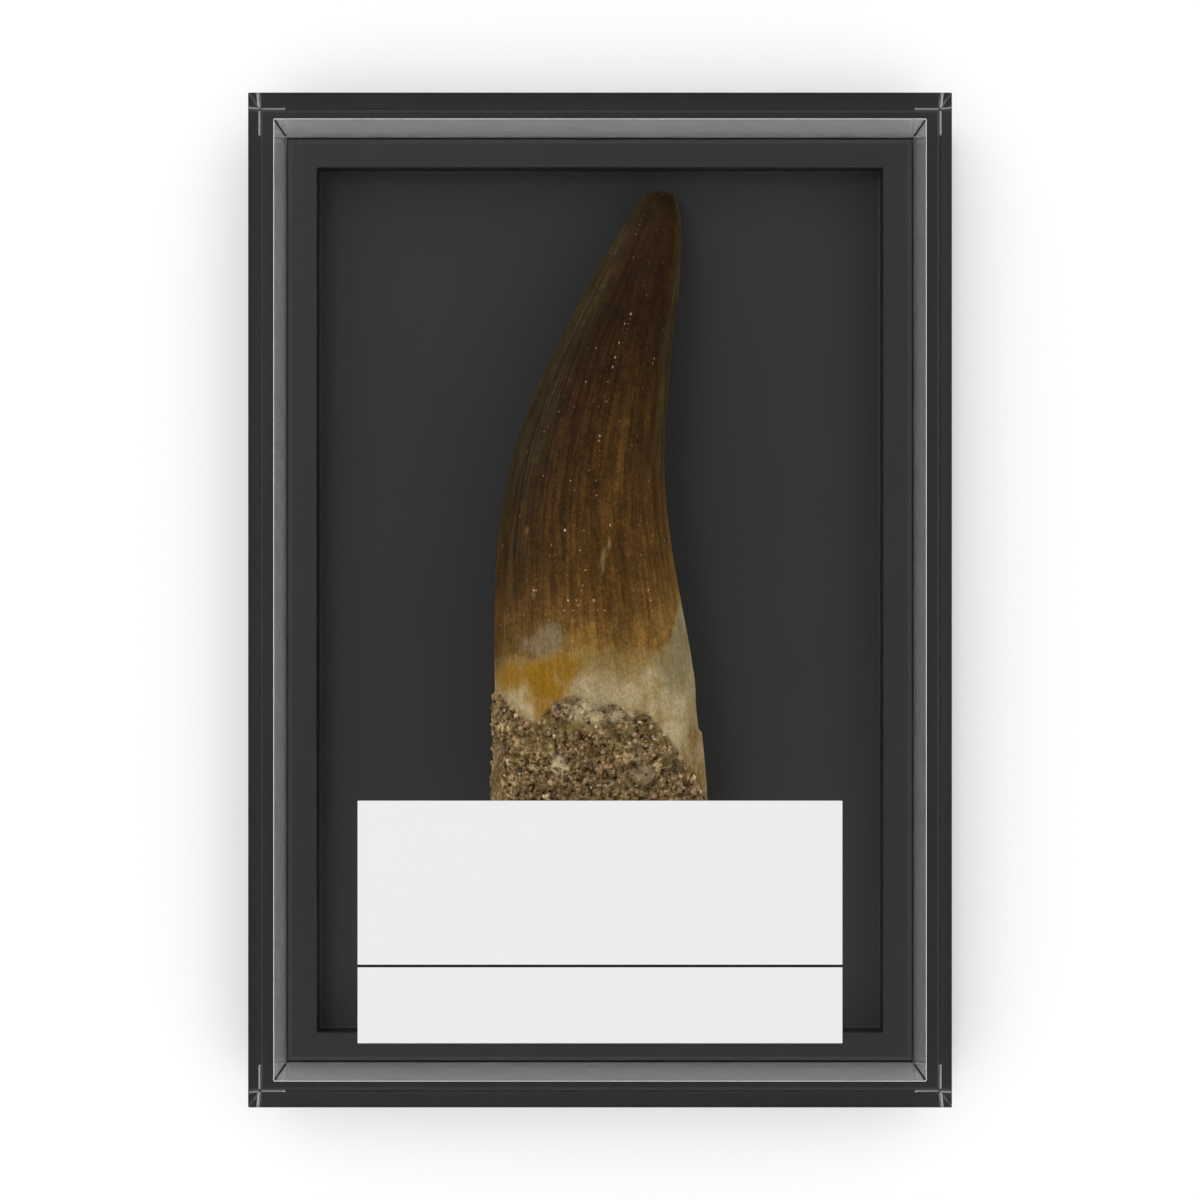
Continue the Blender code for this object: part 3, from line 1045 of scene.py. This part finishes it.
    def _mesh(self) -> bpy.types.Mesh:
        """Join the surface's points.

        Returns:
            A closed mesh of quads, with a fan at each end.
        """
        rows, columns = self.points.shape[:2]
        index = np.arange(rows * columns).reshape(rows, columns)
        right = np.roll(index, -1, axis=1)
        quads = np.stack((index[:-1], index[1:], right[1:], right[:-1]), axis=-1).reshape(-1, 4)
        ends = [self.points[0].mean(axis=0), self.points[-1].mean(axis=0)]
        first, last = rows * columns, rows * columns + 1
        faces = quads.tolist()
        faces += [[first, a, b] for a, b in zip(index[0].tolist(), right[0].tolist())]
        faces += [[last, b, a] for a, b in zip(index[-1].tolist(), right[-1].tolist())]
        mesh = bpy.data.meshes.new("fossil_tooth")
        mesh.from_pydata(np.vstack((self.points.reshape(-1, 3), ends)) * MM, [], faces)
        mesh.update()
        return mesh

    def _store(self, mesh: bpy.types.Mesh, flat: np.ndarray, turn: np.ndarray) -> None:
        """Keep the masks and the lengthwise coordinates on the mesh's points.

        Args:
            mesh: the tooth's mesh, whose last two points are the middles of its ends.
            flat: the smooth surface.
            turn: degrees round the tooth at each point.
        """
        for name, values in self.masks.items():
            layer = mesh.attributes.new(name, "FLOAT", "POINT")
            layer.data.foreach_set("value", np.append(values, [values[0], values[-1]]).astype(np.float32))
        radians = np.radians(turn)
        flow = np.column_stack((np.cos(radians), np.sin(radians), flat[:, 1] * 0.01))
        layer = mesh.attributes.new("flow", "FLOAT_VECTOR", "POINT")
        layer.data.foreach_set("vector", np.vstack((flow, flow[[0, -1]])).astype(np.float32).ravel())


@dataclass
class SandGrains:
    """Grains set in the rock, with flecks and specks on the crown. Sizes are in millimetres."""

    tooth: FossilTooth
    grain_count: int = 9000
    grain_sizes: tuple[float, float] = (0.06, 0.23)
    speck_count: int = 330
    speck_sizes: tuple[float, float] = (0.022, 0.055)
    dot_sizes: tuple[float, float] = (0.012, 0.022)
    fleck_share: float = 0.64  # grain within a fleck's stated size
    flecks: tuple[tuple[float, float, float], ...] = (
        (2.27, 20.95, 0.15),
        (1.83, 20.08, 0.12),
        (1.39, 18.6, 0.10),
        (1.10, 17.5, 0.14),
        (0.88, 16.9, 0.12),
        (4.6, 19.7, 0.12),
        (3.95, 17.5, 0.10),
        (0.58, 15.7, 0.08),
        (-1.02, 15.7, 0.09),
        (3.14, 15.6, 0.07),
        (1.35, 25.0, 0.07),
        (4.64, 25.0, 0.10),
        (-1.86, 13.9, 0.07),
        (-2.96, 13.7, 0.07),
        (-0.04, 11.7, 0.14),
        (-5.34, 10.7, 0.09),
        (-4.1, 9.1, 0.10),
        (-0.8, 9.4, 0.09),
        (-2.12, 8.6, 0.09),
        (-0.29, 7.4, 0.13),
        (0.73, 5.5, 0.16),
        (-2.5, 5.0, 0.18),
        (-1.46, 3.4, 0.12),
        (-1.06, 2.2, 0.12),
        (-0.46, 0.14, 0.17),
        (-2.33, -0.19, 0.21),
        (-1.66, -0.13, 0.18),
        (-2.60, -0.75, 0.15),
        (-1.98, -0.75, 0.10),
        (-1.57, -0.49, 0.13),
        (0.34, -0.80, 0.09),
        (3.52, 0.84, 0.15),
        (4.00, 1.55, 0.09),
        (3.65, -0.04, 0.13),
        (3.75, -0.58, 0.08),
        (-4.74, 0.87, 0.16),
        (-4.60, 0.52, 0.12),
        (-4.85, 0.62, 0.09),
        (-4.60, 1.47, 0.08),
        (-5.77, -1.20, 0.08),
        (-1.98, -2.78, 0.14),
        (0.34, -3.68, 0.12),
    )
    scratches: tuple[tuple[float, float, float, float, int], ...] = (  # both ends and the number of dots
        (3.13, 28.14, 2.58, 26.79, 30),
        (2.46, 21.33, 1.11, 17.10, 40),
        (0.36, 14.86, 0.27, 13.79, 12),
        (0.00, 11.90, -0.04, 9.64, 24),
        (1.98, 27.78, 0.08, 24.46, 26),
        (3.22, 23.40, 3.41, 22.10, 10),
    )
    seed: int = 11

    def build(self) -> bpy.types.Object:
        """Scatter the grains and dress them.

        Returns:
            The grains' object.
        """
        chance = np.random.default_rng(self.seed)
        corners, sides = self._pebble()
        spots, sizes, tones, longer = self._scatter(chance)
        count = len(sizes)
        grid_points = self.tooth.points.reshape(-1, 3)[spots]
        grid_normals = self.tooth.normals.reshape(-1, 3)[spots]
        shapes = corners[None] * (1 + chance.uniform(-0.22, 0.22, (count, len(corners), 1)))
        shapes = shapes * chance.uniform(0.7, 1.2, (count, 1, 3)) * sizes[:, None, None]
        turned = np.einsum("nij,nkj->nki", self._turns(chance, count), shapes)
        turned[:, :, 1] *= longer[:, None]
        lift = sizes * (chance.uniform(-0.55, 0.15, count) - 0.3 * (1 - np.abs(grid_normals[:, 2])))
        points = turned + (grid_points + grid_normals * lift[:, None])[:, None]
        faces = sides[None] + (np.arange(count) * len(corners))[:, None, None]
        mesh = bpy.data.meshes.new("sand_grains")
        mesh.from_pydata(points.reshape(-1, 3) * MM, [], faces.reshape(-1, 3).tolist())
        layer = mesh.attributes.new("tone", "FLOAT", "POINT")
        layer.data.foreach_set("value", np.repeat(tones, len(corners)).astype(np.float32))
        mesh.materials.append(GrainFinish().make())
        mesh.update()
        grains = bpy.data.objects.new("sand_grains", mesh)
        bpy.context.collection.objects.link(grains)
        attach(grains, "root")
        return grains

    def _scatter(self, chance: np.random.Generator) -> tuple[np.ndarray, ...]:
        """Choose the grains, then the specks, flecks and dots of the crown.

        Args:
            chance: where the random values come from.

        Returns:
            Their places on the tooth's grid, their sizes, their tones and how far they are lengthened.
        """
        masks = self.tooth.masks
        ring = np.linalg.norm(np.diff(self.tooth.points, axis=1, append=self.tooth.points[:, :1]), axis=2)
        step = np.linalg.norm(np.gradient(self.tooth.points, axis=0), axis=2)
        area = (ring * step).ravel()
        weight = area * (masks["rock"] > 0.6) * (1 - 0.8 * np.maximum(masks["calm"], masks["lilac"]))
        grains = chance.choice(len(weight), self.grain_count, replace=False, p=weight / weight.sum())
        smallest, largest = self.grain_sizes
        sizes = smallest + (largest - smallest) * chance.power(0.4, self.grain_count)
        tones = np.clip(chance.normal(0.45, 0.24, self.grain_count), 0, 0.93)
        on_crown = area * (masks["enamel"] > 0.6) * (0.15 + np.exp(-masks["rise"] * 6))
        specks = chance.choice(len(weight), self.speck_count, replace=False, p=on_crown / on_crown.sum())
        speck_sizes = chance.uniform(*self.speck_sizes, self.speck_count)
        speck_tones = chance.uniform(0.45, 0.8, self.speck_count)
        marks = [(x, y, size * self.fleck_share) for x, y, size in self.flecks]
        for x0, y0, x1, y1, dots in self.scratches:
            along = chance.uniform(0, 1, dots)
            dot_sizes = chance.uniform(*self.dot_sizes, dots)
            marks += [(x0 + t * (x1 - x0), y0 + t * (y1 - y0), size) for t, size in zip(along, dot_sizes)]
        mark_sizes = np.array([size for _, _, size in marks])
        mark_tones = 0.55 + 2.6 * mark_sizes + chance.uniform(-0.05, 0.05, len(marks))
        longer = (
            np.ones(self.grain_count),
            chance.uniform(1.0, 2.4, self.speck_count),
            chance.uniform(0.9, 1.5, len(self.flecks)),
            chance.uniform(1.5, 3.5, len(marks) - len(self.flecks)),
        )
        return (
            np.concatenate((grains, specks, self._nearest(marks))),
            np.concatenate((sizes, speck_sizes, mark_sizes)),
            np.concatenate((tones, speck_tones, mark_tones)),
            np.concatenate(longer),
        )

    def _nearest(self, marks: Sequence[tuple[float, float, float]]) -> list[int]:
        """Find the grid point under each mark.

        Args:
            marks: places seen from above, and sizes.

        Returns:
            The number of the nearest point on the upper side, for each mark.
        """
        flat = self.tooth.points.reshape(-1, 3)
        out_of_reach = 99.0
        below = np.where(self.tooth.normals.reshape(-1, 3)[:, 2] > 0.1, 0.0, out_of_reach)
        return [np.argmin(np.hypot(flat[:, 0] - x, flat[:, 1] - y) + below) for x, y, _ in marks]

    @staticmethod
    def _pebble() -> tuple[np.ndarray, np.ndarray]:
        """Make a twenty-sided pebble, one unit in radius.

        Returns:
            Its corners and its triangles.
        """
        golden = (1 + math.sqrt(5)) / 2
        corners = []
        for a in (-1, 1):
            for b in (-golden, golden):
                corners += [(0, a, b), (a, b, 0), (b, 0, a)]
        corners = np.array(corners, float) / math.hypot(1, golden)
        reach = np.linalg.norm(corners[:, None] - corners[None], axis=2)
        near = (reach > 0.1) & (reach < 1.2)
        sides = []
        for i, j, k in combinations(range(len(corners)), 3):
            if near[i, j] and near[j, k] and near[i, k]:
                across = np.cross(corners[j] - corners[i], corners[k] - corners[i])
                sides.append((i, j, k) if np.dot(across, corners[i]) > 0 else (i, k, j))
        return corners, np.array(sides)

    @staticmethod
    def _turns(chance: np.random.Generator, count: int) -> np.ndarray:
        """Draw random rotations.

        Args:
            chance: where the random values come from.
            count: how many are wanted.

        Returns:
            One matrix for each.
        """
        turns = chance.normal(size=(4, count))
        w, x, y, z = turns / np.linalg.norm(turns, axis=0)
        rows = (
            (1 - 2 * (y * y + z * z), 2 * (x * y - z * w), 2 * (x * z + y * w)),
            (2 * (x * y + z * w), 1 - 2 * (x * x + z * z), 2 * (y * z - x * w)),
            (2 * (x * z - y * w), 2 * (y * z + x * w), 1 - 2 * (x * x + y * y)),
        )
        return np.stack([np.stack(row, -1) for row in rows], -2)


class CasePart(Enum):
    """The case's pieces, by their names in the frame."""

    BASE = "case_base"
    COVER = "case_cover"
    LABEL = "label"


@dataclass
class CaseMoulding:
    """Makes the case's mouldings as closed bodies through rounded rectangles. Sizes are in millimetres."""

    corner_steps: int = 8
    smooth_below: float = 35.0  # degrees between faces

    def build(
        self, part: CasePart, rings: Sequence[Ring], finish: Union[BlackPlastic, ClearPlastic]
    ) -> bpy.types.Object:
        """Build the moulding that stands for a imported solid.

        Args:
            part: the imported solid.
            rings: the rectangles, from one closing face to the other.
            finish: its finish.

        Returns:
            The moulding's object.
        """
        outlines = [self._outline(*ring) for ring in rings]
        count = len(outlines[0])
        last = count * (len(rings) - 1)
        faces = [
            (row + i, row + j, row + count + j, row + count + i)
            for row in range(0, last, count)
            for i, j in ((i, (i + 1) % count) for i in range(count))
        ]
        faces += [tuple(reversed(range(count))), tuple(range(last, last + count))]
        name = "fine_" + part.value
        mesh = bpy.data.meshes.new(name)
        mesh.from_pydata((np.concatenate(outlines) * MM).tolist(), [], faces)
        mesh.shade_smooth()
        mesh.set_sharp_from_angle(angle=math.radians(self.smooth_below))
        mesh.materials.append(finish.make())
        moulding = bpy.data.objects.new(name, mesh)
        bpy.context.collection.objects.link(moulding)
        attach(moulding, "root")
        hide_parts(part.value)
        return moulding

    def _outline(self, half_width: float, half_length: float, radius: float, height: float) -> np.ndarray:
        """Draw one rounded rectangle, anticlockwise from above.

        Args:
            half_width: half its width.
            half_length: half its length.
            radius: of its corners.
            height: at which it lies.

        Returns:
            One row for each point.
        """
        quarter = np.linspace(0.0, math.pi / 2, self.corner_steps + 1)
        turns = np.concatenate([quarter + start * math.pi / 2 for start in range(4)])
        sides = np.repeat(((1, 1), (-1, 1), (-1, -1), (1, -1)), len(quarter), axis=0)
        flat = sides * (half_width - radius, half_length - radius)
        flat = flat + radius * np.stack((np.cos(turns), np.sin(turns)), axis=1)
        return np.column_stack((flat, np.full(len(turns), height)))


@dataclass
class SpecimenCase:
    """The two-part case and its label, in millimetres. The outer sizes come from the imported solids."""

    plastic: BlackPlastic = BlackPlastic()
    clear: ClearPlastic = ClearPlastic()
    card: Card = Card()
    wall: float = 1.7
    inner_round: float = 0.12  # upright edges of the cover
    outer_round: float = 0.08
    cover_edge: float = 0.04
    rim_edge: float = 0.11
    base_round: float = 0.15
    base_edge: float = 0.25
    ledge: float = 5.0
    ledge_bevel: float = 0.3
    platform_gap: float = 0.12
    platform_bevel: float = 0.3
    recess: tuple[float, float] = (21.05, 32.15)  # half its width and length
    recess_round: float = 0.22
    recess_depth: float = 2.8
    recess_lip: float = 0.06
    fillet: float = 0.12
    fillet_steps: int = 4

    def build(self) -> tuple[bpy.types.Object, ...]:
        """Build base and cover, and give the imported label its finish.

        Returns:
            The case's pieces.
        """
        moulding = CaseMoulding()
        base = moulding.build(CasePart.BASE, self._base(), self.plastic)
        cover = moulding.build(CasePart.COVER, self._cover(), self.clear)
        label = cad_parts[CasePart.LABEL.value]
        label.material_slots[0].material = self.card.make()
        for piece in (cover, label):
            self._let_light_in(piece)
        return base, cover, label

    def _cover(self) -> list[Ring]:
        """Lay out the cover, from its ceiling down the inside and up the outside.

        Returns:
            Its rings.
        """
        low, high = (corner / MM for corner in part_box(CasePart.COVER.value))
        ceiling = high.z - self.wall
        rows = (
            (self.wall + self.cover_edge, self.inner_round, ceiling),
            (self.wall, self.inner_round, ceiling - self.cover_edge),
            (self.wall, self.inner_round, low.z),
            (self.rim_edge, self.outer_round, low.z),
            (0.0, self.outer_round, low.z + self.rim_edge),
            (0.0, self.outer_round, high.z - self.cover_edge),
            (self.cover_edge, self.outer_round, high.z),
        )
        return [(high.x - inset, high.y - inset, radius, height) for inset, radius, height in rows]

    def _base(self) -> list[Ring]:
        """Lay out the base, from its underside up to the platform and down to the recess's floor.

        Returns:
            Its rings.
        """
        low, high = (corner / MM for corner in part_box(CasePart.BASE.value))
        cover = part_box(CasePart.COVER.value)[1] / MM
        platform = high.x - cover.x + self.wall + self.platform_gap
        rows = (
            (self.base_edge, low.z),
            (0.0, low.z + self.base_edge),
            (0.0, self.ledge - self.ledge_bevel),
            (self.ledge_bevel, self.ledge),
            (platform, self.ledge),
            (platform, high.z - self.platform_bevel),
            (platform + self.platform_bevel, high.z),
        )
        rings = [(high.x - inset, high.y - inset, self.base_round, height) for inset, height in rows]
        width, length = self.recess
        lip = self.recess_lip
        rings.append((width + lip, length + lip, self.recess_round + lip, high.z))
        rings.append((width, length, self.recess_round, high.z - lip))
        floor = high.z - self.recess_depth
        for angle in np.linspace(0.0, math.pi / 2, self.fillet_steps + 1):
            inset = self.fillet * (1 - math.cos(angle))
            height = floor + self.fillet * (1 - math.sin(angle))
            rings.append((width - inset, length - inset, self.recess_round - inset, height))
        return rings

    @staticmethod
    def _let_light_in(piece: bpy.types.Object) -> None:
        """Let the studio's light reach the tooth and the tray evenly, without grain."""
        piece.visible_shadow = False
        piece.visible_diffuse = False


@dataclass
class Studio:
    """A pale floor, soft lights and a camera straight above the case. Sizes are in metres."""

    camera_height: float = 0.2557  # above the cover's top
    lens: float = 108.0  # mm, as is the sensor
    sensor: float = 36.0
    nearest: float = 0.01
    floor_size: float = 3.0
    floor_tone: float = 1.045
    sky: float = 0.345
    ring: float = 0.965
    ring_rise: tuple[float, float] = (-0.30, -0.02)  # as heights on a dome one unit high
    ring_fall: tuple[float, float] = (0.62, 0.93)
    hood: tuple[float, float] = (0.93, 0.97)
    key_place: Triple = (-0.29, 0.21, 0.80)
    key_size: float = 0.25
    key_power: float = 1.08  # watts
    clear_bounces: int = 24
    gloss_bounces: int = 12

    def build(self) -> None:
        """Set up floor, world, light, camera and colour handling."""
        self._floor()
        self._world()
        self._softbox("key_softbox")
        self._camera()
        scene = bpy.context.scene
        scene.view_settings.view_transform = "Standard"
        scene.cycles.max_bounces = self.clear_bounces
        scene.cycles.transmission_bounces = self.clear_bounces
        scene.cycles.glossy_bounces = self.gloss_bounces

    def _floor(self) -> None:
        """Lay the pale floor."""
        half = self.floor_size / 2
        corners = [(-half, -half, 0), (half, -half, 0), (half, half, 0), (-half, half, 0)]
        mesh = bpy.data.meshes.new("floor")
        mesh.from_pydata(corners, [], [(0, 1, 2, 3)])
        recipe = Recipe("pale_floor")
        tone = (self.floor_tone,) * 3
        diffuse = recipe.node("ShaderNodeBsdfDiffuse", {}, {"Color": tone}, "BSDF")
        output = recipe.tree.nodes["Material Output"]
        recipe.tree.links.new(diffuse.socket, output.inputs["Surface"])
        mesh.materials.append(recipe.owner)
        floor = bpy.data.objects.new("floor", mesh)
        bpy.context.collection.objects.link(floor)

    def _world(self) -> None:
        """Light the scene white from all round, most of all from the slopes, with a dark hood overhead."""
        recipe = Recipe("studio", "worlds", "Background")
        where = recipe.node("ShaderNodeTexCoord", {}, {}, "Generated")
        height = recipe.node("ShaderNodeSeparateXYZ", {}, {0: where}, "Z")
        ring = height.ramp(*self.ring_rise) * height.ramp(*self.ring_fall, 1.0, 0.0)
        light = (self.sky + ring * self.ring) * height.ramp(*self.hood, 1.0, 0.0)
        recipe.set(Color=(1.0, 1.0, 1.0), Strength=light)
        bpy.context.scene.world = recipe.owner

    def _softbox(self, name: str) -> None:
        """Hang the square key light and aim it at the case.

        Args:
            name: its name.
        """
        light = bpy.data.lights.new(name, "AREA")
        light.shape = "SQUARE"
        light.size = self.key_size
        light.energy = self.key_power
        lamp = bpy.data.objects.new(name, light)
        lamp.location = self.key_place
        lamp.rotation_euler = (-Vector(self.key_place)).to_track_quat("-Z", "Y").to_euler()
        lamp.visible_camera = False
        lamp.visible_transmission = False
        bpy.context.collection.objects.link(lamp)

    def _camera(self) -> None:
        """Point the camera straight down, with the tooth's tip up in the picture."""
        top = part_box(CasePart.COVER.value)[1].z
        camera = bpy.data.cameras.new("camera")
        camera.sensor_width = self.sensor
        camera.lens = self.lens
        camera.clip_start = self.nearest
        holder = bpy.data.objects.new("camera", camera)
        holder.location = (0.0, 0.0, top + self.camera_height)
        bpy.context.collection.objects.link(holder)
        bpy.context.scene.camera = holder


def main() -> None:
    """Build the pieces in order and report each."""
    logging.basicConfig(level=logging.INFO, format="%(message)s")
    pieces = list(SpecimenCase().build())
    tooth = FossilTooth()
    pieces.append(tooth.build())
    pieces.append(SandGrains(tooth).build())
    for piece in pieces:
        log.info("built %s with %d faces", piece.name, len(piece.data.polygons))
    Studio().build()


if __name__ == "__main__":
    main()
